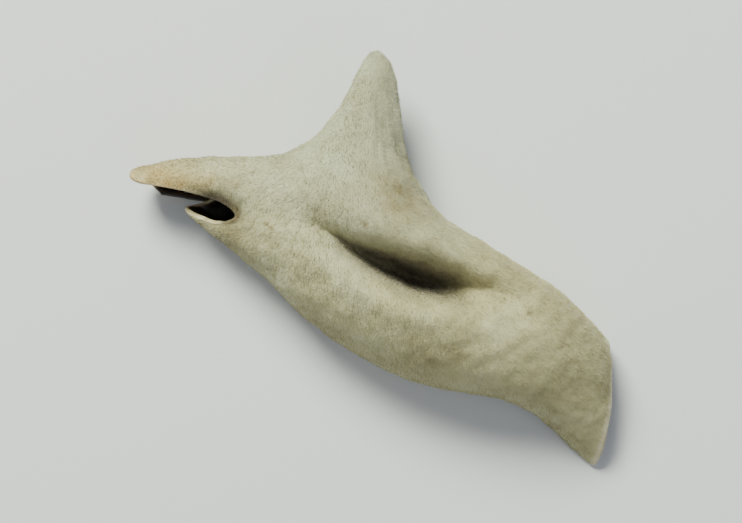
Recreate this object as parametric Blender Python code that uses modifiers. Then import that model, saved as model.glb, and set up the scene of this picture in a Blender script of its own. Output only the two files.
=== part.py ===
"""One dried wood ear mushroom, at its real size, in metres, +Z up.

A wood ear has no stem and cap. It is one leathery leaf that grew from a small foot,
and it curls up as it dries. So the model is one open sheet with a thickness, and it is one solid.

The ear lies as a dried one does on a table: back up, with its margins rolled in under it, like
a small upturned boat. X runs along the boat, from the beak to the tail. Y points to the side
where the pinched foot sticks out like a fin. Z is up, and the ear rests on Z = 0 on four small
flats where its margins reach the table. The origin is under the middle of its box.
"""

import bmesh
import bpy
from mathutils import Vector

MM = 0.001

EAR_LENGTH = 40.4 * MM  # tip of the beak to the drooping corner of the tail
SHEET_THICKNESS = 0.7 * MM
CRUMPLE_DEPTH = 0.35 * MM  # height of the soft dents that drying leaves in the sheet
CRUMPLE_WIDTH = 3.6 * MM
FLATTENED_DEPTH = 0.5 * MM  # how far the lowest margins are pressed flat where the ear lies
SUBDIVISIONS = 2

TABLE_WIDTH = 60 * MM
TABLE_DEPTH = 10 * MM

BACK_COLOUR = (0.40, 0.38, 0.26, 1.0)
BACK_ROUGHNESS = 0.85

# The sheet is a loft through rails. Each rail runs from the beak (-X) to the tail (+X), and the
# rails follow each other from the front margin, over the back of the ear, to the margin behind.
# Points are (x, y, z) in the middle of the sheet's thickness, in millimetres, for an ear of this length:
RAIL_EAR_LENGTH = 40.4

FRONT_MARGIN = [
    (-11.8, -1.4, 3.6), (-10.0, -1.4, 2.9), (-8.4, -1.8, 2.4), (-6.0, -2.8, 2.4), (-3.6, -3.4, 2.2),
    (-1.2, -3.4, 2.0), (1.2, -3.4, 2.0), (3.7, -3.6, 2.0), (6.7, -3.9, 1.7), (10.3, -3.9, 1.6),
    (13.7, -2.8, 2.3), (17.2, -2.7, 1.3), (19.8, -2.9, 0.8),
]
FRONT_FOOT = [
    (-12.9, -2.9, 2.9), (-10.6, -3.3, 1.9), (-8.5, -3.6, 1.2), (-6.1, -4.2, 1.3), (-3.7, -4.7, 1.1),
    (-1.2, -5.3, 0.3), (1.3, -5.7, -0.5), (3.9, -6.0, -0.5), (6.9, -5.7, 0.3), (10.5, -5.0, 1.5),
    (13.9, -4.0, 2.6), (17.7, -4.4, 0.8), (22.1, -6.5, 0.0),
]
FRONT_BULGE = [
    (-13.9, -3.5, 3.8), (-11.0, -4.0, 3.4), (-8.7, -4.4, 3.2), (-6.2, -5.2, 4.1), (-3.8, -5.9, 4.1),
    (-1.2, -6.7, 3.7), (1.3, -6.8, 3.5), (3.9, -7.0, 3.5), (7.1, -6.6, 3.7), (10.7, -5.5, 4.4),
    (14.0, -3.9, 4.6), (18.0, -4.5, 2.9), (21.8, -4.7, 2.3),
]
FRONT_SLOPE = [
    (-13.1, -3.6, 4.7), (-10.6, -3.8, 5.3), (-8.8, -3.9, 6.8), (-6.2, -4.1, 7.4), (-3.8, -4.8, 7.8),
    (-1.2, -5.3, 7.8), (1.3, -5.8, 7.8), (4.0, -5.8, 7.8), (7.2, -5.4, 7.9), (10.7, -4.4, 7.9),
    (14.1, -3.0, 7.7), (18.1, -3.1, 5.2), (21.1, -2.8, 3.8),
]
RIDGE = [
    (-11.4, -3.4, 5.4), (-9.5, -3.1, 6.5), (-8.1, -2.6, 7.9), (-6.0, -2.5, 8.8), (-3.8, -2.6, 9.6),
    (-1.2, -3.0, 10.1), (1.6, -3.1, 10.4), (4.6, -2.7, 10.5), (7.6, -2.0, 10.3), (10.6, -1.8, 9.4),
    (14.0, -1.1, 8.5), (17.9, -1.1, 6.0), (20.4, -1.1, 3.7),
]
SLIT_NEAR_LIP = [
    (-10.5, -3.0, 6.3), (-9.0, -2.6, 7.4), (-8.2, -1.9, 8.0), (-6.2, -1.3, 8.8), (-3.9, -1.1, 9.7),
    (-1.2, -1.6, 10.3), (1.9, -1.6, 10.6), (5.1, -1.1, 10.7), (7.7, -0.3, 10.2), (10.5, -0.2, 9.6),
    (13.9, 0.2, 9.0), (17.7, 0.1, 6.4), (19.9, -0.2, 4.0),
]
SLIT_FLOOR = [
    (-9.6, -2.2, 7.0), (-9.0, -1.7, 7.7), (-8.3, -1.0, 8.1), (-6.3, -0.5, 8.7), (-4.0, -0.3, 8.6),
    (-1.3, -0.8, 6.6), (1.9, -1.1, 3.6), (5.0, -0.6, 3.2), (7.6, 0.6, 8.3), (10.5, 1.1, 9.3),
    (13.8, 1.1, 9.0), (17.5, 0.7, 6.4), (19.5, 0.4, 4.1),
]
SLIT_UNDERCUT = [
    (-10.9, -1.5, 6.7), (-10.0, -0.6, 7.6), (-8.5, 0.1, 8.3), (-6.4, 0.5, 8.9), (-4.1, 0.4, 8.9),
    (-1.4, 0.4, 6.7), (1.8, 0.7, 4.0), (4.9, 1.3, 3.8), (7.5, 1.8, 7.8), (10.4, 2.3, 8.8),
    (13.7, 2.1, 8.7), (17.3, 1.5, 6.3), (19.2, 1.0, 4.2),
]
SLIT_FAR_LIP = [
    (-14.4, -2.2, 6.2), (-12.2, -0.3, 7.2), (-8.8, 0.9, 8.3), (-6.5, 1.1, 9.1), (-4.2, 0.8, 9.8),
    (-1.6, 0.6, 9.7), (1.4, 1.3, 9.5), (4.6, 1.9, 9.3), (7.3, 2.3, 9.1), (10.3, 3.2, 8.7),
    (13.6, 3.0, 8.3), (17.1, 2.2, 6.0), (18.9, 1.6, 4.1),
]
UPPER_CREST = [
    (-18.3, -4.0, 5.0), (-13.4, 0.2, 6.8), (-9.1, 2.0, 8.1), (-6.5, 2.6, 9.3), (-4.6, 3.2, 10.2),
    (-2.0, 2.3, 11.1), (1.1, 2.2, 11.5), (4.1, 3.2, 10.6), (7.1, 3.4, 9.6), (10.2, 3.9, 8.3),
    (13.5, 3.6, 7.4), (16.9, 2.5, 5.4), (18.4, 2.2, 3.9),
]
BACK_BULGE = [
    (-18.6, -2.6, 3.6), (-13.7, 1.1, 5.0), (-8.1, 3.1, 6.2), (-6.4, 8.5, 8.0), (-6.3, 10.0, 8.4),
    (-4.7, 8.4, 8.6), (-0.4, 5.1, 8.6), (3.4, 4.5, 7.8), (6.8, 4.4, 6.4), (10.1, 4.3, 5.6),
    (13.4, 4.2, 5.2), (16.6, 3.1, 3.6), (18.2, 2.8, 2.6),
]
BACK_FOOT = [
    (-17.5, -3.0, 1.4), (-13.7, -0.4, -0.9), (-7.0, 3.7, 1.6), (-7.0, 11.9, 5.9), (-7.7, 14.4, 5.8),
    (-5.3, 13.5, 6.0), (-1.5, 6.7, 5.0), (2.8, 4.3, 2.2), (6.7, 4.2, -0.5), (9.9, 4.0, -0.9),
    (13.2, 3.5, 1.2), (16.1, 2.7, 1.6), (18.0, 2.7, 0.8),
]
BACK_MARGIN = [
    (-16.0, -3.4, 1.6), (-12.4, -2.2, 0.8), (-6.3, 0.9, 2.8), (-5.7, 6.9, 4.0), (-7.1, 12.6, 4.2),
    (-5.0, 11.0, 4.2), (-2.4, 6.9, 3.7), (2.3, 3.0, 1.9), (6.6, 2.3, 1.6), (9.8, 2.2, 1.5),
    (13.0, 2.3, 1.5), (15.8, 1.8, 1.9), (17.3, 1.9, 1.7),
]
RAILS = [
    FRONT_MARGIN, FRONT_FOOT, FRONT_BULGE, FRONT_SLOPE, RIDGE, SLIT_NEAR_LIP,
    SLIT_FLOOR, SLIT_UNDERCUT, SLIT_FAR_LIP, UPPER_CREST, BACK_BULGE, BACK_FOOT, BACK_MARGIN,
]


def clear_scene():
    for obj in list(bpy.data.objects):
        bpy.data.objects.remove(obj, do_unlink=True)


def new_collection(name):
    collection = bpy.data.collections.new(name)
    bpy.context.scene.collection.children.link(collection)
    return collection


def back_material():
    """The pale felted back, which is the side that shows."""
    material = bpy.data.materials.new("felted_back")
    material.use_nodes = True
    shader = material.node_tree.nodes["Principled BSDF"]
    shader.inputs["Base Color"].default_value = BACK_COLOUR
    shader.inputs["Roughness"].default_value = BACK_ROUGHNESS
    shader.inputs["Metallic"].default_value = 0.0
    return material


def cage_mesh():
    """The open cage: a vertex for each rail point, and faces between each rail and the next."""
    unit = EAR_LENGTH / RAIL_EAR_LENGTH
    mesh = bpy.data.meshes.new("ear_cage")
    cage = bmesh.new()
    rows = [[cage.verts.new(Vector(point) * unit) for point in rail] for rail in RAILS]
    for near, far in zip(rows, rows[1:]):
        for k in range(len(near) - 1):
            cage.faces.new((near[k], near[k + 1], far[k + 1], far[k]))
    cage.to_mesh(mesh)
    cage.free()
    mesh.shade_smooth()
    return mesh


def table_block(collection):
    """The block under Z = 0. What it takes away leaves the flats that the ear rests on."""
    mesh = bpy.data.meshes.new("table_block")
    block = bmesh.new()
    bmesh.ops.create_cube(block, size=1.0)
    bmesh.ops.scale(block, vec=(TABLE_WIDTH, TABLE_WIDTH, TABLE_DEPTH), verts=block.verts)
    bmesh.ops.translate(block, vec=(0.0, 0.0, -TABLE_DEPTH / 2), verts=block.verts)
    block.to_mesh(mesh)
    block.free()
    table = bpy.data.objects.new("table_block", mesh)
    collection.objects.link(table)
    table.hide_render = True
    table.display_type = "WIRE"
    return table


def wood_ear(collection, table):
    """The leaf: the smoothed cage, softly dented, given its thickness and flattened where it lies."""
    ear = bpy.data.objects.new("wood_ear", cage_mesh())
    collection.objects.link(ear)
    ear.data.materials.append(back_material())

    smooth = ear.modifiers.new("smooth sheet", "SUBSURF")
    smooth.levels = smooth.render_levels = SUBDIVISIONS

    dents = bpy.data.textures.new("drying dents", "CLOUDS")
    dents.noise_scale = CRUMPLE_WIDTH
    crumple = ear.modifiers.new("crumple", "DISPLACE")
    crumple.texture = dents
    crumple.texture_coords = "LOCAL"
    crumple.strength = CRUMPLE_DEPTH
    crumple.mid_level = 0.5

    leaf = ear.modifiers.new("thickness", "SOLIDIFY")
    leaf.thickness = SHEET_THICKNESS
    leaf.offset = 0.0

    settle = ear.modifiers.new("settle", "BOOLEAN")
    settle.operation = "DIFFERENCE"
    settle.solver = "EXACT"
    settle.object = table
    return ear


def lay_down(ear):
    """Lowers the ear into the table, and brings the middle of its box over the origin."""
    ear.location.z = -FLATTENED_DEPTH
    bpy.context.view_layer.update()
    evaluated = ear.evaluated_get(bpy.context.evaluated_depsgraph_get())
    corners = [Vector(corner) for corner in evaluated.bound_box]
    low, high = corners[0], corners[6]
    ear.location.x = -(low.x + high.x) / 2
    ear.location.y = -(low.y + high.y) / 2


def main():
    clear_scene()
    table = table_block(new_collection("cutters"))
    ear = wood_ear(new_collection("dried_wood_ear"), table)
    lay_down(ear)


main()
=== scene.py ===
# %% [markdown]
# # A dried wood ear mushroom
#
# A wood ear is a mushroom with no stem and cap. It is one rubbery leaf that grows from a pinched
# foot on a dead branch, and it dries to a stiff leather that curls. Its back is covered with a
# felt of short pale hairs. Its inner side, where the spores form, is smooth and almost black.
#
# This lesson makes one dried ear from a lofted sheet, and the looks come from four things:
#
# 1. the sheet itself, with its fold, slit, beak and fin,
# 2. the pleats, growth zones and wrinkles that drying leaves in it, as real geometry,
# 3. three finishes: the felted back, the dark inner side and the thin translucent margin,
# 4. thousands of short felt hairs, grown on the back with Geometry Nodes.
#
# The frame comes first. It is the solid that the ear has for physics, and the finished leaf has
# to lie where that solid lies.

# %% Load the frame
import math
import bpy
import numpy as np
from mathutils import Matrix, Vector, noise
from mathutils.bvhtree import BVHTree


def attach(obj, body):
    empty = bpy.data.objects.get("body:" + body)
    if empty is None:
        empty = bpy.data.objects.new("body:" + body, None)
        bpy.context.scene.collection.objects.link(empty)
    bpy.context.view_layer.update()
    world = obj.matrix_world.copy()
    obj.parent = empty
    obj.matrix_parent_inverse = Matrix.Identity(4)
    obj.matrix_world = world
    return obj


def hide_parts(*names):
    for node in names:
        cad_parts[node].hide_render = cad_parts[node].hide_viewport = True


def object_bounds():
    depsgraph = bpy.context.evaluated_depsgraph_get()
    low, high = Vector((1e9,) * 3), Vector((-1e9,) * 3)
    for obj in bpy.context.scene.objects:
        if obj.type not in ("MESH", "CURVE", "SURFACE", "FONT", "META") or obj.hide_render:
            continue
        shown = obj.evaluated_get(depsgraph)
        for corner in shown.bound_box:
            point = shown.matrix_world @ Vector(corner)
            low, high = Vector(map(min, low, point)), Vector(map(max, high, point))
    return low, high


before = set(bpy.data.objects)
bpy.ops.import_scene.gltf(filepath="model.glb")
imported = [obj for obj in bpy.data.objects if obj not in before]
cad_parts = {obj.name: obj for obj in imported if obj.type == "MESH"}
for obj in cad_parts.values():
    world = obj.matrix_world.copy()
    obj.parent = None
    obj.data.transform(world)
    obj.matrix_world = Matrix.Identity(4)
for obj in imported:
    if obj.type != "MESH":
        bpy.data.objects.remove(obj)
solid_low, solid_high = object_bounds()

MM = 0.001
NODE = "wood_ear"
print("the solid's box, mm:", [round(float(v) / MM, 1) for v in (*solid_low, *solid_high)])

# %% [markdown]
# ## The sheet
#
# The sheet is a loft through rails. Each rail runs from the beak (-X) to the tail (+X), and the
# rails follow each other from the front margin, over the back, to the margin behind. They are the
# same rails that the solid is made from, in millimetres.
#
# A subdivision surface would smooth this cage, but it hands back its points in an order that is
# hard to use. A bicubic B-spline is the same surface, and it can be read at any place (u, v).
# With u along the rails and v across them, everything later knows where on the leaf it is.

# %% The rails
FRONT_MARGIN = [
    (-11.8, -1.4, 3.6), (-10.0, -1.4, 2.9), (-8.4, -1.8, 2.4), (-6.0, -2.8, 2.4), (-3.6, -3.4, 2.2),
    (-1.2, -3.4, 2.0), (1.2, -3.4, 2.0), (3.7, -3.6, 2.0), (6.7, -3.9, 1.7), (10.3, -3.9, 1.6),
    (13.7, -2.8, 2.3), (17.2, -2.7, 1.3), (19.8, -2.9, 0.8),
]
FRONT_FOOT = [
    (-12.9, -2.9, 2.9), (-10.6, -3.3, 1.9), (-8.5, -3.6, 1.2), (-6.1, -4.2, 1.3), (-3.7, -4.7, 1.1),
    (-1.2, -5.3, 0.3), (1.3, -5.7, -0.5), (3.9, -6.0, -0.5), (6.9, -5.7, 0.3), (10.5, -5.0, 1.5),
    (13.9, -4.0, 2.6), (17.7, -4.4, 0.8), (22.1, -6.5, 0.0),
]
FRONT_BULGE = [
    (-13.9, -3.5, 3.8), (-11.0, -4.0, 3.4), (-8.7, -4.4, 3.2), (-6.2, -5.2, 4.1), (-3.8, -5.9, 4.1),
    (-1.2, -6.7, 3.7), (1.3, -6.8, 3.5), (3.9, -7.0, 3.5), (7.1, -6.6, 3.7), (10.7, -5.5, 4.4),
    (14.0, -3.9, 4.6), (18.0, -4.5, 2.9), (21.8, -4.7, 2.3),
]
FRONT_SLOPE = [
    (-13.1, -3.6, 4.7), (-10.6, -3.8, 5.3), (-8.8, -3.9, 6.8), (-6.2, -4.1, 7.4), (-3.8, -4.8, 7.8),
    (-1.2, -5.3, 7.8), (1.3, -5.8, 7.8), (4.0, -5.8, 7.8), (7.2, -5.4, 7.9), (10.7, -4.4, 7.9),
    (14.1, -3.0, 7.7), (18.1, -3.1, 5.2), (21.1, -2.8, 3.8),
]
RIDGE = [
    (-11.4, -3.4, 5.4), (-9.5, -3.1, 6.5), (-8.1, -2.6, 7.9), (-6.0, -2.5, 8.8), (-3.8, -2.6, 9.6),
    (-1.2, -3.0, 10.1), (1.6, -3.1, 10.4), (4.6, -2.7, 10.5), (7.6, -2.0, 10.3), (10.6, -1.8, 9.4),
    (14.0, -1.1, 8.5), (17.9, -1.1, 6.0), (20.4, -1.1, 3.7),
]
SLIT_NEAR_LIP = [
    (-10.5, -3.0, 6.3), (-9.0, -2.6, 7.4), (-8.2, -1.9, 8.0), (-6.2, -1.3, 8.8), (-3.9, -1.1, 9.7),
    (-1.2, -1.6, 10.3), (1.9, -1.6, 10.6), (5.1, -1.1, 10.7), (7.7, -0.3, 10.2), (10.5, -0.2, 9.6),
    (13.9, 0.2, 9.0), (17.7, 0.1, 6.4), (19.9, -0.2, 4.0),
]
SLIT_FLOOR = [
    (-9.6, -2.2, 7.0), (-9.0, -1.7, 7.7), (-8.3, -1.0, 8.1), (-6.3, -0.5, 8.7), (-4.0, -0.3, 8.6),
    (-1.3, -0.8, 6.6), (1.9, -1.1, 3.6), (5.0, -0.6, 3.2), (7.6, 0.6, 8.3), (10.5, 1.1, 9.3),
    (13.8, 1.1, 9.0), (17.5, 0.7, 6.4), (19.5, 0.4, 4.1),
]
SLIT_UNDERCUT = [
    (-10.9, -1.5, 6.7), (-10.0, -0.6, 7.6), (-8.5, 0.1, 8.3), (-6.4, 0.5, 8.9), (-4.1, 0.4, 8.9),
    (-1.4, 0.4, 6.7), (1.8, 0.7, 4.0), (4.9, 1.3, 3.8), (7.5, 1.8, 7.8), (10.4, 2.3, 8.8),
    (13.7, 2.1, 8.7), (17.3, 1.5, 6.3), (19.2, 1.0, 4.2),
]
SLIT_FAR_LIP = [
    (-14.4, -2.2, 6.2), (-12.2, -0.3, 7.2), (-8.8, 0.9, 8.3), (-6.5, 1.1, 9.1), (-4.2, 0.8, 9.8),
    (-1.6, 0.6, 9.7), (1.4, 1.3, 9.5), (4.6, 1.9, 9.3), (7.3, 2.3, 9.1), (10.3, 3.2, 8.7),
    (13.6, 3.0, 8.3), (17.1, 2.2, 6.0), (18.9, 1.6, 4.1),
]
UPPER_CREST = [
    (-18.3, -4.0, 5.0), (-13.4, 0.2, 6.8), (-9.1, 2.0, 8.1), (-6.5, 2.6, 9.3), (-4.6, 3.2, 10.2),
    (-2.0, 2.3, 11.1), (1.1, 2.2, 11.5), (4.1, 3.2, 10.6), (7.1, 3.4, 9.6), (10.2, 3.9, 8.3),
    (13.5, 3.6, 7.4), (16.9, 2.5, 5.4), (18.4, 2.2, 3.9),
]
BACK_BULGE = [
    (-18.6, -2.6, 3.6), (-13.7, 1.1, 5.0), (-8.1, 3.1, 6.2), (-6.4, 8.5, 8.0), (-6.3, 10.0, 8.4),
    (-4.7, 8.4, 8.6), (-0.4, 5.1, 8.6), (3.4, 4.5, 7.8), (6.8, 4.4, 6.4), (10.1, 4.3, 5.6),
    (13.4, 4.2, 5.2), (16.6, 3.1, 3.6), (18.2, 2.8, 2.6),
]
BACK_FOOT = [
    (-17.5, -3.0, 1.4), (-13.7, -0.4, -0.9), (-7.0, 3.7, 1.6), (-7.0, 11.9, 5.9), (-7.7, 14.4, 5.8),
    (-5.3, 13.5, 6.0), (-1.5, 6.7, 5.0), (2.8, 4.3, 2.2), (6.7, 4.2, -0.5), (9.9, 4.0, -0.9),
    (13.2, 3.5, 1.2), (16.1, 2.7, 1.6), (18.0, 2.7, 0.8),
]
BACK_MARGIN = [
    (-16.0, -3.4, 1.6), (-12.4, -2.2, 0.8), (-6.3, 0.9, 2.8), (-5.7, 6.9, 4.0), (-7.1, 12.6, 4.2),
    (-5.0, 11.0, 4.2), (-2.4, 6.9, 3.7), (2.3, 3.0, 1.9), (6.6, 2.3, 1.6), (9.8, 2.2, 1.5),
    (13.0, 2.3, 1.5), (15.8, 1.8, 1.9), (17.3, 1.9, 1.7),
]
RAILS = [
    FRONT_MARGIN, FRONT_FOOT, FRONT_BULGE, FRONT_SLOPE, RIDGE, SLIT_NEAR_LIP,
    SLIT_FLOOR, SLIT_UNDERCUT, SLIT_FAR_LIP, UPPER_CREST, BACK_BULGE, BACK_FOOT, BACK_MARGIN,
]
print(len(RAILS), "rails of", len(RAILS[0]), "points")

# %% [markdown]
# A cubic B-spline gives each point of the curve as a blend of the four control points around it.
# So the weights for all samples fit in one table, and the whole sheet is two table products.
# A mirrored point past each end makes the surface end exactly on the outer rails.

# %% The smooth sheet
ROWS = 190     # samples across the rails
COLUMNS = 228  # samples along the rails


def spline_weights(controls, samples):
    """A table of how much each control point counts at each of the evenly spaced samples."""
    place = np.linspace(0, controls - 1, samples)
    span = np.minimum(place.astype(int), controls - 2)
    f = place - span
    basis = np.stack([(1 - f) ** 3, 3 * f**3 - 6 * f**2 + 4, -3 * f**3 + 3 * f**2 + 3 * f + 1, f**3]) / 6
    table = np.zeros((samples, controls + 2))
    for k in range(4):
        table[np.arange(samples), span + k] = basis[k]
    first, last = table[:, :1], table[:, -1:]
    inner = table[:, 1:-1].copy()
    inner[:, 0:2] += first * (2, -1)
    inner[:, -2:] += last * (-1, 2)
    return inner


across = spline_weights(len(RAILS), ROWS)
along = spline_weights(len(RAILS[0]), COLUMNS)
sheet = np.einsum("vr,rkc,uk->vuc", across, np.array(RAILS), along)
print("the sheet, mm:", sheet.min((0, 1)).round(1), sheet.max((0, 1)).round(1))

# %% [markdown]
# The solid lies half a millimetre lower than its rails, pressed flat where its margins touch the
# table, and the middle of its box is over the origin. The sheet is brought to the same place.

# %% Lay the sheet where the solid lies
FLATTENED_DEPTH = 0.5
solid_middle = (np.array(solid_low) + np.array(solid_high)) / 2 / MM
sheet_middle = (sheet.min((0, 1)) + sheet.max((0, 1))) / 2
sheet += (*(solid_middle - sheet_middle)[:2], -FLATTENED_DEPTH)


def unit(vectors):
    return vectors / np.maximum(np.linalg.norm(vectors, axis=-1, keepdims=True), 1e-9)


def normals_of(grid):
    """The direction out of the back at each point, from the two directions in the sheet."""
    return unit(np.cross(np.gradient(grid, axis=1), np.gradient(grid, axis=0)))


print("lowest point, mm:", round(float(sheet[:, :, 2].min()), 2))

# %% [markdown]
# ## Where on the leaf is this point?
#
# A real leaf isn't the same all over. It is thin at its margin and thick near its foot, its
# pleats fan out from the foot, and its growth zones are rings round the foot. Three measures
# describe that for every point: the distance in from the margin, the distance from the foot, and
# the direction from the foot, counted across the sheet.

# %% Distances over the leaf
FOOT_RAIL, FOOT_POINT = 11, 4  # the control point that pulls the foot out


def steps(grid, axis):
    """The running length along the grid's lines, from their first point."""
    length = np.linalg.norm(np.diff(grid, axis=axis), axis=-1)
    return np.insert(np.cumsum(length, axis=axis), 0, 0.0, axis=axis)


from_front, from_beak = steps(sheet, 0), steps(sheet, 1)
margin = np.minimum.reduce([
    from_front, from_front[-1:] - from_front, from_beak, from_beak[:, -1:] - from_beak,
])
v_share, u_share = np.meshgrid(np.linspace(0, 1, ROWS), np.linspace(0, 1, COLUMNS), indexing="ij")
foot_v = FOOT_RAIL / (len(RAILS) - 1)
foot_u = FOOT_POINT / (len(RAILS[0]) - 1)
foot_place = sheet[round(foot_v * (ROWS - 1)), round(foot_u * (COLUMNS - 1))]
foot = np.linalg.norm(sheet - foot_place, axis=-1)
flat_x = (u_share - foot_u) * from_beak[:, -1].mean()
flat_y = (foot_v - v_share) * from_front[-1].mean()
fan = np.arctan2(flat_x, flat_y)
fan_reach = np.hypot(flat_x, flat_y)
leaf_length, leaf_width = float(from_beak[:, -1].max()), float(from_front[-1].max())
print("leaf length and width, mm:", round(leaf_length, 1), round(leaf_width, 1))

# %% [markdown]
# ## What drying does
#
# A fresh wood ear is mostly water. As it dries, its two faces shrink by different amounts, so it
# gets pleats that run out from the foot, faint rings where growth stopped and started, and fine
# wrinkles between them. The inner face shrinks more, and its skin gathers into vein-like folds.
# All of it is moved geometry, because a wrinkle that is only painted on has no outline and no shadow.

# %% Noise for every point at once
def noise_over(points, width, seed, octaves=3):
    """Soft noise from about -1 to 1 at points in mm. Its lumps are about width wide."""
    shift = Vector((seed * 17.3, seed * 5.9, seed * 11.1))
    flat = points.reshape(-1, 3) / width
    found = [noise.fractal(Vector(p) + shift, 0.9, 2.0, octaves) for p in flat.tolist()]
    return np.array(found).reshape(points.shape[:-1])


def smooth_step(low, high, value):
    t = np.clip((value - low) / (high - low), 0, 1)
    return t * t * (3 - 2 * t)


print("noise at the foot, to show its size:", round(float(noise_over(foot_place[None], 1.0, seed=1)[0]), 2))

# %% [markdown]
# Pleats are noise that is read in a grid of direction and distance from the foot, so its lumps are
# long rays. The rings are a sine of the distance, made to wander. The dents and puckers have no
# direction. Pleats are deepest near the foot, and fade at its very tip, where they would cross.

# %% Pleats, rings and dents
PLEAT_GRID = (7.0, 0.16)       # lumps to the radian round the foot, and to the mm away from it
FINE_PLEAT_GRID = (26.0, 0.30)
PLEAT_DEPTH = 0.20
FINE_PLEAT_DEPTH = 0.055
RING_DEPTH = 0.018
RING_SPACING = 1.7
DENT_DEPTH = 0.20
DENT_WIDTH = 4.2
TAIL_SMOOTHING = 0.6  # the tail is flatter than the rest, so its dents are shallower by this share
PUCKER_DEPTH = 0.05
PUCKER_WIDTH = 1.6

no_height = np.zeros_like(fan)
fan_grid = np.stack([fan * PLEAT_GRID[0], foot * PLEAT_GRID[1], no_height], axis=-1)
fine_fan_grid = np.stack([fan * FINE_PLEAT_GRID[0], foot * FINE_PLEAT_GRID[1], no_height], axis=-1)
pleats = noise_over(fan_grid, 1.0, seed=1, octaves=2)
fine_pleats = noise_over(fine_fan_grid, 1.0, seed=2, octaves=3)
wander = noise_over(sheet, 5.0, seed=3, octaves=2)
rings = np.sin(2 * math.pi * (foot / RING_SPACING + 0.8 * wander))
dents = noise_over(sheet, DENT_WIDTH, seed=4) * (1 - TAIL_SMOOTHING * smooth_step(15.0, 21.0, foot))
puckers = noise_over(sheet, PUCKER_WIDTH, seed=8)
near_foot = smooth_step(15.0, 4.0, foot) * smooth_step(2.0, 6.0, fan_reach)  # all in mm

shared = PLEAT_DEPTH * pleats * (0.25 + 0.75 * near_foot) * smooth_step(1.5, 6.0, fan_reach)
shared += DENT_DEPTH * dents + PUCKER_DEPTH * puckers
sheet += normals_of(sheet) * shared[..., None]
normals = normals_of(sheet)
print("pleats from", round(float(shared.min()), 2), "to", round(float(shared.max()), 2), "mm")

# %% [markdown]
# ## Two faces and an edge
#
# The sheet gets its thickness by hand: the back is the sheet moved out along its normals, and the
# inner face is the sheet moved in. The leaf thins to half towards its margin, where some light
# gets through it.

# %% The thickness and the relief of each face
THICKNESS = 0.70
MARGIN_THICKNESS = 0.34
CLUMP_DEPTH = 0.045
VEIN_DEPTH = 0.10
INNER_GRAIN_DEPTH = 0.03
thickness = MARGIN_THICKNESS + (THICKNESS - MARGIN_THICKNESS) * smooth_step(0, 2.6, margin)
inwards = smooth_step(0.0, 0.7, margin)  # the relief fades out at the edge, so that the edge stays whole

clumps = noise_over(sheet, 0.75, seed=5, octaves=3)
back_relief = FINE_PLEAT_DEPTH * fine_pleats * near_foot + RING_DEPTH * rings + CLUMP_DEPTH * clumps
vein_grid = np.stack([fan * 9, foot * 0.5, wander], -1)
veins = 1 - 2 * np.abs(noise_over(vein_grid, 1.0, seed=6, octaves=3))
inner_relief = VEIN_DEPTH * veins + INNER_GRAIN_DEPTH * noise_over(sheet, 0.9, seed=7)

back = sheet + normals * (thickness / 2 + back_relief * inwards)[..., None]
inner = sheet - normals * (thickness / 2 + inner_relief * inwards)[..., None]
back[..., 2] = np.maximum(back[..., 2], 0.0)
inner[..., 2] = np.maximum(inner[..., 2], 0.05)
print("back relief, mm:", round(float(back_relief.min()), 2), "to", round(float(back_relief.max()), 2))

# %% [markdown]
# The two faces are joined round the border by a half circle, so that the margin looks like a thin
# rounded lip and not a cut. Its points lie in the direction that leads out of the sheet.

# %% The round edge
EDGE_STEPS = 4


def loop_round(grid):
    """The grid's border as one closed loop: front rail, tail, back rail, beak."""
    return np.concatenate([grid[0, :-1], grid[:-1, -1], grid[-1, :0:-1], grid[:0:-1, 0]])


outward = np.zeros_like(sheet)
outward[0] += unit(sheet[0] - sheet[1])
outward[-1] += unit(sheet[-1] - sheet[-2])
outward[:, 0] += unit(sheet[:, 0] - sheet[:, 1])
outward[:, -1] += unit(sheet[:, -1] - sheet[:, -2])
edge_out = unit(loop_round(outward))
edge_back, edge_inner = loop_round(back), loop_round(inner)
edge_middle = (edge_back + edge_inner) / 2
edge_radius = np.linalg.norm(edge_back - edge_inner, axis=-1, keepdims=True) / 2
edge_rows = []
for k in range(1, EDGE_STEPS):
    turn = math.pi * k / EDGE_STEPS
    towards_back = (edge_back - edge_middle) * math.cos(turn)
    row = edge_middle + towards_back + edge_out * edge_radius * math.sin(turn)
    row[:, 2] = np.maximum(row[:, 2], 0.0)
    edge_rows.append(row)
print(len(edge_back), "points round the edge")

# %% [markdown]
# The faces are joined by index: two grids, and rows of quads that go round from one to the other.

# %% The leaf as a mesh
def grid_quads(rows, columns, first):
    """Four point numbers for each cell of a grid whose points are numbered row by row."""
    number = first + np.arange(rows * columns).reshape(rows, columns)
    return np.stack([number[:-1, :-1], number[:-1, 1:], number[1:, 1:], number[1:, :-1]], -1).reshape(-1, 4)


point_count = ROWS * COLUMNS
numbers = np.arange(point_count).reshape(ROWS, COLUMNS)
border = loop_round(numbers)
rims = [border]
rims += [2 * point_count + k * len(border) + np.arange(len(border)) for k in range(EDGE_STEPS - 1)]
rims += [point_count + border]
back_quads = grid_quads(ROWS, COLUMNS, 0)
inner_quads = grid_quads(ROWS, COLUMNS, point_count)[:, ::-1]
edge_quads = np.concatenate([
    np.stack([near, far, np.roll(far, -1), np.roll(near, -1)], -1) for near, far in zip(rims, rims[1:])
])
quads = np.concatenate([back_quads, inner_quads, edge_quads])
points = np.concatenate([back.reshape(-1, 3), inner.reshape(-1, 3), *edge_rows])

leaf_mesh = bpy.data.meshes.new("leaf")
leaf_mesh.from_pydata((points * MM).tolist(), [], quads.tolist())
leaf_mesh.shade_smooth()
leaf = bpy.data.objects.new("dried_leaf", leaf_mesh)
bpy.context.scene.collection.objects.link(leaf)
print("the leaf has", 2 * len(quads), "triangles")

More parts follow.
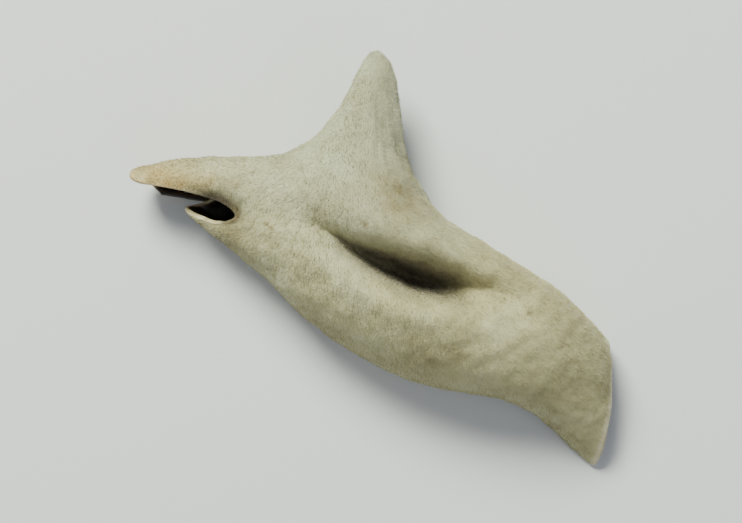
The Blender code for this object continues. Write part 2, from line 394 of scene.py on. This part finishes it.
# %% [markdown]
# ## The flat map
#
# A baked texture needs a place of its own for every face. The back lies in the map's left half
# and the inner face in its right half. The edge is folded out round the back as a thin strip.

# %% The flat map
MAP_WIDTH = 0.47  # each face fills just under half of the map
MAP_BORDER = 0.02
BACK_LEFT, INNER_LEFT = 0.01, 0.52
STRIP_STEP = 0.002  # width of each row of the edge on the map


def on_map(u, v, left):
    """Places on the map for shares along and across the leaf."""
    across_map = left + MAP_BORDER / 2 + u * (MAP_WIDTH - MAP_BORDER)
    up_map = MAP_BORDER + v * (1 - 2 * MAP_BORDER)
    return np.stack([across_map, up_map], -1)


flat_back = on_map(u_share, v_share, BACK_LEFT)
flat_inner = on_map(u_share, v_share, INNER_LEFT)
centre_of_back = np.array([BACK_LEFT + MAP_WIDTH / 2, 0.5])
flat_border = loop_round(flat_back)
flat_out = np.sign(np.round((flat_border - centre_of_back) / (MAP_WIDTH / 2, 0.5) * 1.02, 1).astype(int))
flat_rims = [flat_border + flat_out * STRIP_STEP * k for k in range(EDGE_STEPS + 1)]
corner_places = np.concatenate([
    flat_back.reshape(-1, 2)[back_quads].reshape(-1, 2),
    flat_inner.reshape(-1, 2)[inner_quads - point_count].reshape(-1, 2),
    np.concatenate([
        np.stack([near, far, np.roll(far, -1, 0), np.roll(near, -1, 0)], 1)
        for near, far in zip(flat_rims, flat_rims[1:])
    ]).reshape(-1, 2),
])
leaf_mesh.uv_layers.new(name="OFBake").uv.foreach_set("vector", corner_places.astype(np.float32).ravel())
print("map from", corner_places.min(0).round(3), "to", corner_places.max(0).round(3))

# %% [markdown]
# ## Painted shade in the hollows
#
# The felt is left pale on the ridges. In the slit and under the rolled margins it is painted with the
# brown of the skin under it, as painted shade. A painter would glaze those hollows by hand. Here, rays
# sent out from each point of the back count how much of the view is blocked by the leaf itself, and
# that share sets how much shade is painted.

# %% How much shade to paint at each point
RAY_LENGTH = 6.0
RAY_COUNT = 14
RAY_START = 0.06  # mm off the back, so that a ray doesn't hit the point that it leaves
HOLLOW_SHADE_PASSES = 24  # the samples are coarse, so their steps are smoothed away


def ray_fan(count):
    """Directions spread evenly over a hemisphere round +Z, more of them near the middle."""
    turn = math.pi * (3 - math.sqrt(5))
    rays = []
    for k in range(count):
        height = math.sqrt(1 - (k + 0.5) / count)
        radius = math.sqrt(1 - height * height)
        rays.append(Vector((radius * math.cos(k * turn), radius * math.sin(k * turn), height)))
    return rays


tree = BVHTree.FromPolygons(points.tolist(), quads.tolist())
rays = ray_fan(RAY_COUNT)
coarse = (slice(None, None, 2), slice(None, None, 2))
# the share of blocked rays sets how much painted shade each point gets
blocked = []
for place, out in zip(back[coarse].reshape(-1, 3).tolist(), normals[coarse].reshape(-1, 3).tolist()):
    turn = Vector(out).to_track_quat("Z", "Y")
    start = Vector(place) + Vector(out) * RAY_START
    hits = sum(tree.ray_cast(start, turn @ ray, RAY_LENGTH)[0] is not None for ray in rays)
    blocked.append(hits / RAY_COUNT)
coarse_hollow_shade = np.array(blocked).reshape(back[coarse].shape[:2])
rows_at = np.linspace(0, coarse_hollow_shade.shape[0] - 1, ROWS)
columns_at = np.linspace(0, coarse_hollow_shade.shape[1] - 1, COLUMNS)
hollow_shade = np.array([np.interp(columns_at, np.arange(coarse_hollow_shade.shape[1]), row) for row in coarse_hollow_shade])
hollow_shade = np.array([np.interp(rows_at, np.arange(hollow_shade.shape[0]), column) for column in hollow_shade.T]).T
for _ in range(HOLLOW_SHADE_PASSES):
    wide = np.pad(hollow_shade, 1, mode="edge")
    hollow_shade = (wide[:-2, 1:-1] + wide[2:, 1:-1] + wide[1:-1, :-2] + wide[1:-1, 2:] + 4 * hollow_shade) / 8
print("sheltered share: mean", round(float(hollow_shade.mean()), 2), "most", round(float(hollow_shade.max()), 2))

# %% [markdown]
# ## Marks and painted shade on the leaf
#
# No two ears are marked alike. This one has a tan, scorched lip at its beak. Painted shade goes with
# it: dark blots on three slopes, a dark shadow brown in its mouth's corner, and dark margins where the
# leaf is rolled in. Each is a measure from 0 to 1 that is worked out from the place on the leaf, and a
# finish mixes it in.

# %% The scorched lip of the beak
LIP_RAIL = 7.4   # the upper lip starts at about this rail
LIP_REACH = 0.30  # share of the leaf's length that is touched by it
along_beak = smooth_step(LIP_REACH, 0.05, u_share)
upper_lip = smooth_step(LIP_RAIL, LIP_RAIL + 0.8, v_share * (len(RAILS) - 1))
lip = along_beak * upper_lip * (0.45 + 0.35 * smooth_step(-0.5, 0.5, noise_over(sheet, 1.2, seed=9)))
lip *= smooth_step(6.0, 0.8, margin)
print("tan points:", int((lip > 0.3).sum()), "of", lip.size)

# %% [markdown]
# A blot of painted shade is soft, round a place on the leaf. That place is given by rail and by point
# along the rail, because it then stays on the leaf if the shape is changed. The painted shade in the
# mouth's corner and on the rolled margins is given by how far they lie across and along the leaf.

# %% The painted shade: blots on three slopes, the mouth's corner and the rolled margins
# blots of painted shade on three slopes that lie in shade
SHADE_BLOTS = (  # rail and point of the middle, width in mm, and strength
    (8.6, 6.6, 2.4, 0.15),   # on the slope above the slit
    (4.0, 1.0, 1.8, 0.80),   # behind the lower lip of the beak
    (9.6, 5.8, 2.3, 1.00),   # on the flank of the foot
)
blot_shade = np.zeros_like(u_share)
for at_rail, at_point, width, strength in SHADE_BLOTS:
    row = round(at_rail / (len(RAILS) - 1) * (ROWS - 1))
    column = round(at_point / (len(RAILS[0]) - 1) * (COLUMNS - 1))
    away = np.linalg.norm(sheet - sheet[row, column], axis=-1)
    blot_shade = np.maximum(blot_shade, strength * np.exp(-(away / width) ** 2))
# painted shade: the rolled margins and, below, the mouth's corner are painted dark
rim_shade = smooth_step(0.045, 0.02, np.minimum(v_share, 1 - v_share)) * smooth_step(0.0, 0.04, 1 - u_share)
rail_share = v_share * (len(RAILS) - 1)
# painted shadow: the mouth's corner is painted a dark shadow brown on every face
mouth_shade_rails = smooth_step(4.4, 5.2, rail_share) * smooth_step(8.2, 7.4, rail_share)
corner = smooth_step(0.07, 0.015, u_share) * mouth_shade_rails  # the mouth's corner is a twentieth of the length
rim_shade = np.maximum(rim_shade, 0.85 * corner)
print("stained points:", int((blot_shade > 0.3).sum()))

# %% [markdown]
# The finishes can't see these arrays. They read attributes of the mesh, so each measure is written
# there by name, with one value for each point.

# %% Write the measures on the mesh
def write_measure(name, grid):
    """A value for each point: the same on both faces, and carried round the edge."""
    values = np.concatenate([grid.ravel(), grid.ravel(), *[loop_round(grid)] * (EDGE_STEPS - 1)])
    leaf_mesh.attributes.new(name, "FLOAT", "POINT").data.foreach_set("value", values.astype(np.float32))


def write_places(name, grid):
    """The same for three numbers at each point."""
    flat = grid.reshape(-1, 3)
    values = np.concatenate([flat, flat, *[loop_round(grid)] * (EDGE_STEPS - 1)]).astype(np.float32)
    leaf_mesh.attributes.new(name, "FLOAT_VECTOR", "POINT").data.foreach_set("vector", values.ravel())


MM_TO_THE_RADIAN = 10.0  # so that a step round the foot counts like a step away from it
leaf_measures = {
    "margin_mm": margin, "foot_mm": foot, "hollow_shade": hollow_shade, "lip": lip, "blot_shade": blot_shade, "rim_shade": rim_shade,
    "corner": corner,
}
for name, grid in leaf_measures.items():
    write_measure(name, grid)
write_places("fan", np.stack([fan * MM_TO_THE_RADIAN, foot, no_height], -1))
print("measures on the leaf:", ", ".join(leaf_measures))

# %% [markdown]
# ## Finishes
#
# Colours are given as the hex values that a paint chart would have, and one function turns them
# into the linear values that a shader works with. One more function adds a node with its settings
# and links, so that a material reads from top to bottom like a recipe.

# %% Colours and nodes
def linear(code):
    """A hex colour, such as "b5b49a", as linear red, green, blue and full alpha."""
    channels = [int(code[k:k + 2], 16) / 255 for k in (0, 2, 4)]
    return (*[c / 12.92 if c <= 0.04045 else ((c + 0.055) / 1.055) ** 2.4 for c in channels], 1.0)


def add(tree, kind, settings=None, stops=(), **inputs):
    """A new node. settings are its own values, and stops a colour ramp's (place, hex colour) pairs.

    An input is a number, a colour, a socket, or a node, which then gives its first output in use.
    Its name is the socket's, or i0, i1 and so on where several sockets have the same name.
    """
    node = tree.nodes.new(kind)
    for name, value in (settings or {}).items():
        setattr(node, name, value)
    if stops:
        while len(node.color_ramp.elements) < len(stops):
            node.color_ramp.elements.new(0.5)
        for element, (place, code) in zip(node.color_ramp.elements, stops):
            element.position = place
            element.color = linear(code)
    for name, value in inputs.items():
        if name[0] == "i" and name[1:].isdigit():
            socket = node.inputs[int(name[1:])]
        else:
            socket = next(s for s in node.inputs if s.enabled and s.name == name.replace("_", " "))
        if isinstance(value, bpy.types.Node):
            value = next(s for s in value.outputs if s.enabled)
        if isinstance(value, bpy.types.NodeSocket):
            tree.links.new(value, socket)
        else:
            socket.default_value = value
    return node


BLEND = {"data_type": "RGBA"}
MULTIPLY = {"data_type": "RGBA", "blend_type": "MULTIPLY"}
SMOOTH = {"interpolation_type": "SMOOTHSTEP"}


def painted(tree, under, over, name, bare=None, full=None):
    """The colour over laid on under, as thickly as one of the leaf's measures says.

    The measure is the thickness itself, or it runs from bare, where under shows, to full.
    """
    share = add(tree, "ShaderNodeAttribute", {"attribute_name": name}).outputs["Fac"]
    if bare is not None:
        share = add(tree, "ShaderNodeMapRange", SMOOTH, Value=share, From_Min=bare, From_Max=full)
    return add(tree, "ShaderNodeMix", BLEND, Factor=share, A=under, B=over)


def new_material(name):
    material = bpy.data.materials.new(name)
    material.use_nodes = True
    return material, material.node_tree, material.node_tree.nodes["Principled BSDF"]


print("a felt grey, linear:", [round(c, 3) for c in linear("b2b399")])

# %% [markdown]
# ### The felt's colour
#
# The back is a felt of short pale hairs over a brown skin. Where the felt is whole, it is a grey
# olive, a little warmer and yellower away from the foot. In its hollows the brown of the skin is
# painted in as shade, blots of painted shade darken three slopes, and the mouth's corner is painted
# a dark shadow brown. The margin is cream, and the beak's lip is scorched tan. Both the skin and the
# tufts that stand on it take this colour, so it has a function of its own. The patches are about
# five millimetres wide, the mottle about one, and the smudges about two.

# %% The felt's colour
PATCHES_PER_MM = 0.20
MOTTLES_PER_MM = 1.0
SMUDGES_PER_MM = 0.55


def felt_colour(tree):
    """The felt's colour over the back, the object's own places, and the mottle."""
    places = add(tree, "ShaderNodeTexCoord").outputs["Object"]
    patches = add(
        tree, "ShaderNodeTexNoise", Vector=places, Scale=PATCHES_PER_MM / MM, Detail=5.0, Roughness=0.55,
    )
    mottle = add(
        tree, "ShaderNodeTexNoise", Vector=places, Scale=MOTTLES_PER_MM / MM, Detail=6.0, Roughness=0.65,
    )
    by_foot = add(
        tree, "ShaderNodeValToRGB", Fac=patches, stops=((0.32, "9c9a7c"), (0.50, "b2b399"), (0.70, "c0c2ac")),
    )
    by_front = add(
        tree, "ShaderNodeValToRGB", Fac=patches,
        stops=((0.32, "a69f7a"), (0.46, "b3ae88"), (0.58, "bab792"), (0.74, "c2c09f")),
    )
    felt = painted(tree, by_foot, by_front, "foot_mm", bare=8.0, full=19.0)
    dust = add(
        tree, "ShaderNodeValToRGB", Fac=mottle, stops=((0.30, "a59d80"), (0.50, "ebe8d8"), (0.75, "ffffff")),
    )
    felt = add(tree, "ShaderNodeMix", MULTIPLY, Factor=0.45, A=felt, B=dust)
    # painted shade: the hollows are glazed brown by how much of the view the leaf blocks there
    hollow_shade_brown = add(tree, "ShaderNodeValToRGB", Fac=mottle, stops=((0.3, "6f6855"), (0.7, "978f7a")))
    felt = painted(tree, felt, hollow_shade_brown, "hollow_shade", bare=0.40, full=1.00)
    cream = add(tree, "ShaderNodeValToRGB", Fac=mottle, stops=((0.3, "aea584"), (0.7, "d6d2b4")))
    felt = painted(tree, felt, cream, "margin_mm", bare=0.50, full=0.05)
    tan = add(
        tree, "ShaderNodeValToRGB", Fac=mottle, stops=((0.3, "886c3c"), (0.55, "ac8f56"), (0.8, "c4ab76")),
    )
    felt = painted(tree, felt, tan, "lip")
    # painted shadow: the mouth's corner is a dark shadow brown
    felt = painted(tree, felt, linear("4b4232"), "corner")

    # painted shade: the soft blots darken three slopes, broken up by the mottle
    blot_mottle = add(tree, "ShaderNodeMapRange", SMOOTH, Value=mottle, From_Min=0.25, From_Max=0.60)
    blot_shade = add(tree, "ShaderNodeAttribute", {"attribute_name": "blot_shade"}).outputs["Fac"]
    blot_shaded = add(tree, "ShaderNodeMath", {"operation": "MULTIPLY"}, i0=blot_shade, i1=blot_mottle)
    felt = add(tree, "ShaderNodeMix", BLEND, Factor=blot_shaded, A=felt, B=linear("827651"))
    smudges = add(
        tree, "ShaderNodeTexNoise", Vector=places, Scale=SMUDGES_PER_MM / MM, Detail=4.0, Roughness=0.6,
    )
    smudges = add(tree, "ShaderNodeMapRange", SMOOTH, Value=smudges, From_Min=0.64, From_Max=0.80)
    return add(tree, "ShaderNodeMix", BLEND, Factor=smudges, A=felt, B=linear("857958")), places, mottle

# %% [markdown]
# ### The felted back
#
# This is the skin under the felt: matted hairs, which scatter light softly and have a faint sheen
# at grazing angles. Its grain fans out from the foot, as the hairs do, so the fibres are noise that
# is stretched along the fan. The finest grain has about seven lumps to the millimetre.

# %% The felted back
FIBRE_STRETCH = (2.6, 0.35, 1.0)
FELT_GRAINS_PER_MM = 7.0


def felted_back():
    material, tree, shader = new_material("felted_back")
    colour, places, mottle = felt_colour(tree)
    fan_places = add(tree, "ShaderNodeAttribute", {"attribute_name": "fan"}).outputs["Vector"]
    along_fan = add(tree, "ShaderNodeMapping", Vector=fan_places, Scale=FIBRE_STRETCH)
    fibres = add(tree, "ShaderNodeTexNoise", Vector=along_fan, Scale=1.0, Detail=6.0, Roughness=0.62)
    lay = add(
        tree, "ShaderNodeValToRGB", Fac=fibres, stops=((0.32, "a9a189"), (0.55, "f1efe6"), (0.8, "ffffff")),
    )
    colour = add(tree, "ShaderNodeMix", MULTIPLY, Factor=0.25, A=colour, B=lay)
    tree.links.new(colour.outputs[2], shader.inputs["Base Color"])

    grain = add(
        tree, "ShaderNodeTexNoise", Vector=places, Scale=FELT_GRAINS_PER_MM / MM, Detail=3.0, Roughness=0.55,
    )
    height = add(tree, "ShaderNodeMath", {"operation": "ADD"}, i0=fibres, i1=grain)
    height = add(tree, "ShaderNodeMath", {"operation": "MULTIPLY_ADD"}, i0=mottle, i1=1.2, i2=height)
    bump = add(tree, "ShaderNodeBump", Strength=0.7, Distance=0.10 * MM, Height=height)
    tree.links.new(bump.outputs["Normal"], shader.inputs["Normal"])
    shader.inputs["Roughness"].default_value = 0.85
    shader.inputs["Specular IOR Level"].default_value = 0.25
    shader.inputs["Sheen Weight"].default_value = 0.15
    shader.inputs["Sheen Roughness"].default_value = 0.5
    return material


back_finish = felted_back()
print("made", back_finish.name, "from", len(back_finish.node_tree.nodes), "nodes")

# %% [markdown]
# ### The inner side
#
# The inner side is a smooth skin over jelly. Dry, it is like polished horn: nearly black, brown
# where it is thin, with a low gloss, and dull on the crests of its folds.

# %% The inner side
def horny_inner_side():
    material, tree, shader = new_material("horny_inner_side")
    places = add(tree, "ShaderNodeTexCoord").outputs["Object"]
    clouds = add(tree, "ShaderNodeTexNoise", Vector=places, Scale=0.5 / MM, Detail=5.0, Roughness=0.55)
    skin = add(
        tree, "ShaderNodeValToRGB", Fac=clouds, stops=((0.3, "1e1916"), (0.55, "2d2520"), (0.75, "44382e")),
    )
    tan = add(tree, "ShaderNodeValToRGB", Fac=clouds, stops=((0.3, "4a3826"), (0.7, "7d6444")))
    skin = painted(tree, skin, tan, "margin_mm", bare=0.30, full=0.02)
    # painted shadow: the mouth's corner takes the same dark shadow brown on this face
    skin = painted(tree, skin, linear("5a4c3a"), "corner")
    tree.links.new(skin.outputs[2], shader.inputs["Base Color"])

    folds = add(tree, "ShaderNodeTexNoise", Vector=places, Scale=1.6 / MM, Detail=4.0, Roughness=0.55)
    dull = add(tree, "ShaderNodeMapRange", SMOOTH, Value=folds, From_Min=0.35, From_Max=0.7)
    rough = add(tree, "ShaderNodeMapRange", Value=dull, To_Min=0.30, To_Max=0.58)
    tree.links.new(rough.outputs["Result"], shader.inputs["Roughness"])
    grain = add(tree, "ShaderNodeTexNoise", Vector=places, Scale=4.0 / MM, Detail=5.0, Roughness=0.55)
    bump = add(tree, "ShaderNodeBump", Strength=0.5, Distance=0.05 * MM, Height=grain)
    tree.links.new(bump.outputs["Normal"], shader.inputs["Normal"])
    shader.inputs["Specular IOR Level"].default_value = 0.5
    return material


inner_finish = horny_inner_side()
print("made", inner_finish.name, "from", len(inner_finish.node_tree.nodes), "nodes")

# %% [markdown]
# ### The margin
#
# At the margin the leaf is a third of a millimetre of dried jelly with no felt on it. Light goes
# in and comes out again, so it looks creamy, like thin horn. Where it is rolled in, and in the
# mouth's corner, it is painted as dark as the inner side, as painted shade.

# %% The margin
def thin_margin():
    material, tree, shader = new_material("thin_margin")
    places = add(tree, "ShaderNodeTexCoord").outputs["Object"]
    mottle = add(tree, "ShaderNodeTexNoise", Vector=places, Scale=1.1 / MM, Detail=5.0, Roughness=0.55)
    cream = add(
        tree, "ShaderNodeValToRGB", Fac=mottle, stops=((0.3, "988b68"), (0.55, "c0b78f"), (0.8, "d9d4b6")),
    )
    tan = add(
        tree, "ShaderNodeValToRGB", Fac=mottle, stops=((0.3, "7f6238"), (0.55, "ab8d58"), (0.8, "cab07c")),
    )
    rim = painted(tree, cream, tan, "lip")
    # painted shade: the rolled-in rim and the mouth's corner are painted dark
    rim = painted(tree, rim, linear("2b2520"), "rim_shade")
    tree.links.new(rim.outputs[2], shader.inputs["Base Color"])

    grain = add(tree, "ShaderNodeTexNoise", Vector=places, Scale=5.0 / MM, Detail=4.0, Roughness=0.55)
    bump = add(tree, "ShaderNodeBump", Strength=0.4, Distance=0.04 * MM, Height=grain)
    tree.links.new(bump.outputs["Normal"], shader.inputs["Normal"])
    shader.inputs["Roughness"].default_value = 0.5
    shader.inputs["Subsurface Weight"].default_value = 0.35
    shader.inputs["Subsurface Radius"].default_value = (1.0, 0.45, 0.2)
    shader.inputs["Subsurface Scale"].default_value = 0.5 * MM
    return material


margin_finish = thin_margin()
print("made", margin_finish.name, "from", len(margin_finish.node_tree.nodes), "nodes")

# %% [markdown]
# The leaf wears all three finishes, one on each kind of face. It is one mesh, because it is one
# piece of fungus. It stands in for the solid that has the same name in the frame.

# %% Finish the leaf
for finish in (back_finish, inner_finish, margin_finish):
    leaf_mesh.materials.append(finish)
slots = np.repeat([0, 1, 2], [len(back_quads), len(inner_quads), len(edge_quads)])
leaf_mesh.polygons.foreach_set("material_index", slots.astype(np.int32))
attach(leaf, "root")
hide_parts(NODE)
print("materials:", [m.name for m in leaf_mesh.materials])

# %% [markdown]
# ## The felt
#
# The hairs of the felt are a few hundredths of a millimetre apart and far too fine to draw one by
# one. They clump in tufts, and it is the tufts that give the back its dull nap. A particle system
# would be lost when the object is exported, so Geometry Nodes scatter a spike for each tuft over
# the back, lean it away from the foot, and turn all of them into plain mesh. A spike is four
# triangles, because there are tens of thousands.

# %% The bare back that the felt grows on
TUFT_COUNT = 46000
bare = bpy.data.meshes.new("bare_back")
bare.from_pydata((back.reshape(-1, 3) * MM).tolist(), [], back_quads.tolist())
bare.shade_smooth()
flow = unit(np.gradient(sheet, axis=0) * -flat_y[..., None] + np.gradient(sheet, axis=1) * flat_x[..., None])
covered = smooth_step(0.10, 0.45, margin) * smooth_step(0.30, 0.60, back[..., 2])
bare_measures = {
    "margin_mm": margin, "foot_mm": foot, "hollow_shade": hollow_shade, "lip": lip, "blot_shade": blot_shade, "corner": corner,
    "covered": covered,
}
for name, grid in bare_measures.items():
    bare.attributes.new(name, "FLOAT", "POINT").data.foreach_set("value", grid.ravel().astype(np.float32))
flow_values = flow.ravel().astype(np.float32)
bare.attributes.new("flow", "FLOAT_VECTOR", "POINT").data.foreach_set("vector", flow_values)
felt = bpy.data.objects.new("felt_tufts", bare)
bpy.context.scene.collection.objects.link(felt)
covered_area = sum(p.area for p in bare.polygons) / MM**2
print("the back's area, mm2:", round(covered_area))

# %% [markdown]
# ### The tree
#
# Points are scattered on the back, more where it is covered with felt. Each gets a three-sided
# spike that leans between the leaf's normal and the flow of the hairs, with a stray of its own.
# No two tufts have quite the same size or shade.

# %% The felt's tree
TREE_INPUTS = {
    "Back": "NodeSocketGeometry",
    "Tufts per mm2": "NodeSocketFloat",
    "Tuft length": "NodeSocketFloat",
    "Tuft width": "NodeSocketFloat",
    "Lean": "NodeSocketFloat",
    "Seed": "NodeSocketInt",
    "Finish": "NodeSocketMaterial",
}


def felt_tree():
    tree = bpy.data.node_groups.new("grow_felt", "GeometryNodeTree")
    for name, kind in TREE_INPUTS.items():
        tree.interface.new_socket(name, in_out="INPUT", socket_type=kind)
    tree.interface.new_socket("Felt", in_out="OUTPUT", socket_type="NodeSocketGeometry")
    given = add(tree, "NodeGroupInput").outputs

    cover = add(tree, "GeometryNodeInputNamedAttribute", {"data_type": "FLOAT"}, Name="covered")
    per_square_metre = add(
        tree, "ShaderNodeMath", {"operation": "DIVIDE"}, i0=given["Tufts per mm2"], i1=MM**2,
    )
    density = add(tree, "ShaderNodeMath", {"operation": "MULTIPLY"}, i0=per_square_metre, i1=cover)
    roots = add(
        tree, "GeometryNodeDistributePointsOnFaces", Mesh=given["Back"], Density=density, Seed=given["Seed"],
    )
    spike = add(
        tree, "GeometryNodeMeshCone", {"fill_type": "NGON"}, Vertices=3, Side_Segments=1, Radius_Top=0.0,
        Radius_Bottom=given["Tuft width"], Depth=given["Tuft length"],
    )

    stray = add(
        tree, "FunctionNodeRandomValue", {"data_type": "FLOAT_VECTOR"},
        Min=(-0.5, -0.5, -0.5), Max=(0.5, 0.5, 0.5), Seed=given["Seed"],
    )
    flow_here = add(tree, "GeometryNodeInputNamedAttribute", {"data_type": "FLOAT_VECTOR"}, Name="flow")
    leaning = add(tree, "ShaderNodeVectorMath", {"operation": "SCALE"}, i0=flow_here, Scale=given["Lean"])
    upright = add(tree, "ShaderNodeVectorMath", {"operation": "ADD"}, i0=roots.outputs["Normal"], i1=leaning)
    way = add(tree, "ShaderNodeVectorMath", {"operation": "ADD"}, i0=upright, i1=stray)
    turn = add(tree, "FunctionNodeAlignRotationToVector", {"axis": "Z"}, Vector=way)
    size = add(
        tree, "FunctionNodeRandomValue", {"data_type": "FLOAT"}, Min=0.55, Max=1.35, Seed=given["Seed"],
    )
    tufts = add(tree, "GeometryNodeInstanceOnPoints", Points=roots, Instance=spike, Rotation=turn, Scale=size)

    shade = add(tree, "FunctionNodeRandomValue", {"data_type": "FLOAT"}, Seed=7)
    kept = add(
        tree, "GeometryNodeStoreNamedAttribute", {"data_type": "FLOAT", "domain": "INSTANCE"},
        Geometry=tufts, Name="tuft_shade", Value=shade,
    )
    whole = add(tree, "GeometryNodeRealizeInstances", Geometry=kept)
    finished = add(tree, "GeometryNodeSetMaterial", Geometry=whole, Material=given["Finish"])
    add(tree, "NodeGroupOutput", Felt=finished)
    return tree


growth = felt_tree()
print("the tree has", len(growth.nodes), "nodes and", len(TREE_INPUTS), "inputs")

# %% [markdown]
# ### The tufts' finish
#
# A tuft has the colour of the felt under it, a little lighter or darker from one to the next. It
# is a bundle of dry hairs, so it has almost no gloss.

# %% The tufts' finish
def felt_tufts():
    material, tree, shader = new_material("felt_tufts")
    colour, _, _ = felt_colour(tree)
    own_shade = add(tree, "ShaderNodeAttribute", {"attribute_name": "tuft_shade"}).outputs["Fac"]
    shade = add(
        tree, "ShaderNodeValToRGB", Fac=own_shade, stops=((0.0, "d9d5c6"), (0.6, "fbfaf4"), (1.0, "ffffff")),
    )
    colour = add(tree, "ShaderNodeMix", MULTIPLY, Factor=1.0, A=colour, B=shade)
    tree.links.new(colour.outputs[2], shader.inputs["Base Color"])
    shader.inputs["Roughness"].default_value = 0.9
    shader.inputs["Specular IOR Level"].default_value = 0.2
    return material


tuft_finish = felt_tufts()
print("made", tuft_finish.name, "from", len(tuft_finish.node_tree.nodes), "nodes")

# %% [markdown]
# ### Growing
#
# The tree goes on as a modifier, and each input is set by its identifier. The mesh that comes out
# replaces the bare back, and the modifier goes. One hair is well under a hundredth of a millimetre
# thick. The tufts are drawn several times as coarse as that, so that the nap shows.

# %% Grow the felt
def grown(obj, tree, values, name):
    """The plain mesh that the tree makes on the object. The modifier is gone afterwards."""
    modifier = obj.modifiers.new("grow", "NODES")
    modifier.node_group = tree
    for socket in tree.interface.items_tree:
        if socket.in_out == "INPUT" and socket.name in values:
            modifier[socket.identifier] = values[socket.name]
    bpy.context.view_layer.update()
    mesh = bpy.data.meshes.new_from_object(obj.evaluated_get(bpy.context.evaluated_depsgraph_get()))
    obj.modifiers.remove(modifier)
    mesh.name = name
    return mesh


how_it_grows = {
    "Tufts per mm2": TUFT_COUNT / covered_area,
    "Tuft length": 0.19 * MM,
    "Tuft width": 0.021 * MM,
    "Lean": 1.7,
    "Seed": 11,
    "Finish": tuft_finish,
}
felt.data = grown(felt, growth, how_it_grows, "felt_tufts")
print("the felt has", sum(len(p.vertices) - 2 for p in felt.data.polygons), "triangles")

# %% [markdown]
# The baked texture needs a place for each tuft too. The map is ruled into squares, and each tuft
# gets one square for its four points.

# %% A map for the tufts
def tuft_map(mesh):
    """Each tuft gets a small square of its own on the map."""
    points_each = 4
    tuft_total = len(mesh.vertices) // points_each
    squares = math.ceil(math.sqrt(tuft_total))
    loop_points = np.empty(len(mesh.loops), np.int32)
    mesh.loops.foreach_get("vertex_index", loop_points)
    tuft = loop_points // points_each
    in_square = np.array([(0.15, 0.15), (0.85, 0.15), (0.5, 0.85), (0.5, 0.4)])[loop_points % points_each]
    square = np.stack([tuft % squares, tuft // squares], -1)
    places = (square + in_square) / squares
    mesh.uv_layers.new(name="OFBake").uv.foreach_set("vector", places.astype(np.float32).ravel())
    return squares


print("squares along the map:", tuft_map(felt.data))
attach(felt, "root")

# %% [markdown]
# ## The stage
#
# The table is a plain pale sheet. A large soft light stands behind the foot, because that is where
# the folds throw their shadows from, and a weak one opens up the dark side.

# %% Floor and light
def plain_floor():
    mesh = bpy.data.meshes.new("floor")
    half = 600 * MM
    corners = [(-half, -half, 0), (half, -half, 0), (half, half, 0), (-half, half, 0)]
    mesh.from_pydata(corners, [], [(0, 1, 2, 3)])
    floor = bpy.data.objects.new("floor", mesh)
    bpy.context.scene.collection.objects.link(floor)
    material, _, shader = new_material("pale_table")  # matte board, so that shadows on it are soft and plain
    shader.inputs["Base Color"].default_value = linear("d6d8d9")
    shader.inputs["Roughness"].default_value = 0.9
    mesh.materials.append(material)


def soft_light(name, direction, distance, size, power, tint):
    """A square soft box at distance from the ear, facing it."""
    data = bpy.data.lights.new(name, "AREA")
    data.shape = "SQUARE"
    data.size = size
    data.energy = power
    data.color = linear(tint)[:3]
    light = bpy.data.objects.new(name, data)
    light.location = Vector(direction).normalized() * distance
    light.rotation_euler = Vector(direction).to_track_quat("Z", "Y").to_euler()
    bpy.context.scene.collection.objects.link(light)
    print(name, "light,", power, "W, from", [round(v, 2) for v in Vector(direction).normalized()])


ROLL = math.radians(28.7)  # the ear's long axis slopes down to the right by this much
plain_floor()
picture_up = Vector((-math.sin(ROLL), math.cos(ROLL), 0))
picture_right = Vector((math.cos(ROLL), math.sin(ROLL), 0))
key_from = picture_up * 0.75 - picture_right * 0.35 + Vector((0, 0, 0.90))
fill_from = picture_right * 0.6 - picture_up * 0.7 + Vector((0, 0, 0.9))
soft_light("key", key_from, 0.40, 0.15, 3.7, "f8fdec")
soft_light("fill", fill_from, 0.50, 0.40, 0.5, "f2f6ff")

world = bpy.data.worlds.new("studio")
world.use_nodes = True
world.node_tree.nodes["Background"].inputs["Color"].default_value = linear("e6ebf0")
world.node_tree.nodes["Background"].inputs["Strength"].default_value = 0.37
bpy.context.scene.world = world

# %% [markdown]
# ## The camera
#
# The camera looks straight down, and is turned so that the ear slopes down to the right. A long
# lens from a little way off keeps the near and far parts of the ear at the same scale.

# %% The camera
def middle_along(direction):
    """Where the middle of the leaf lies along a direction."""
    reach = points @ np.array(direction)
    return float(reach.min() + reach.max()) / 2 * MM


LENS = 100.0
SENSOR = 36.0
VIEW_WIDTH = 51.9 * MM  # how much is in view at the height of the ear's top
camera_data = bpy.data.cameras.new("camera")
camera_data.lens = LENS
camera_data.sensor_width = SENSOR
camera_data.clip_start = 10 * MM
camera = bpy.data.objects.new("camera", camera_data)
bpy.context.scene.collection.objects.link(camera)
aim = picture_right * middle_along(picture_right) + picture_up * middle_along(picture_up)
camera.location = aim + Vector((0, 0, VIEW_WIDTH * LENS / SENSOR + solid_high[2]))
camera.rotation_euler = (0, 0, ROLL)
bpy.context.scene.camera = camera
print("the camera is", round(camera.location.z / MM), "mm up")
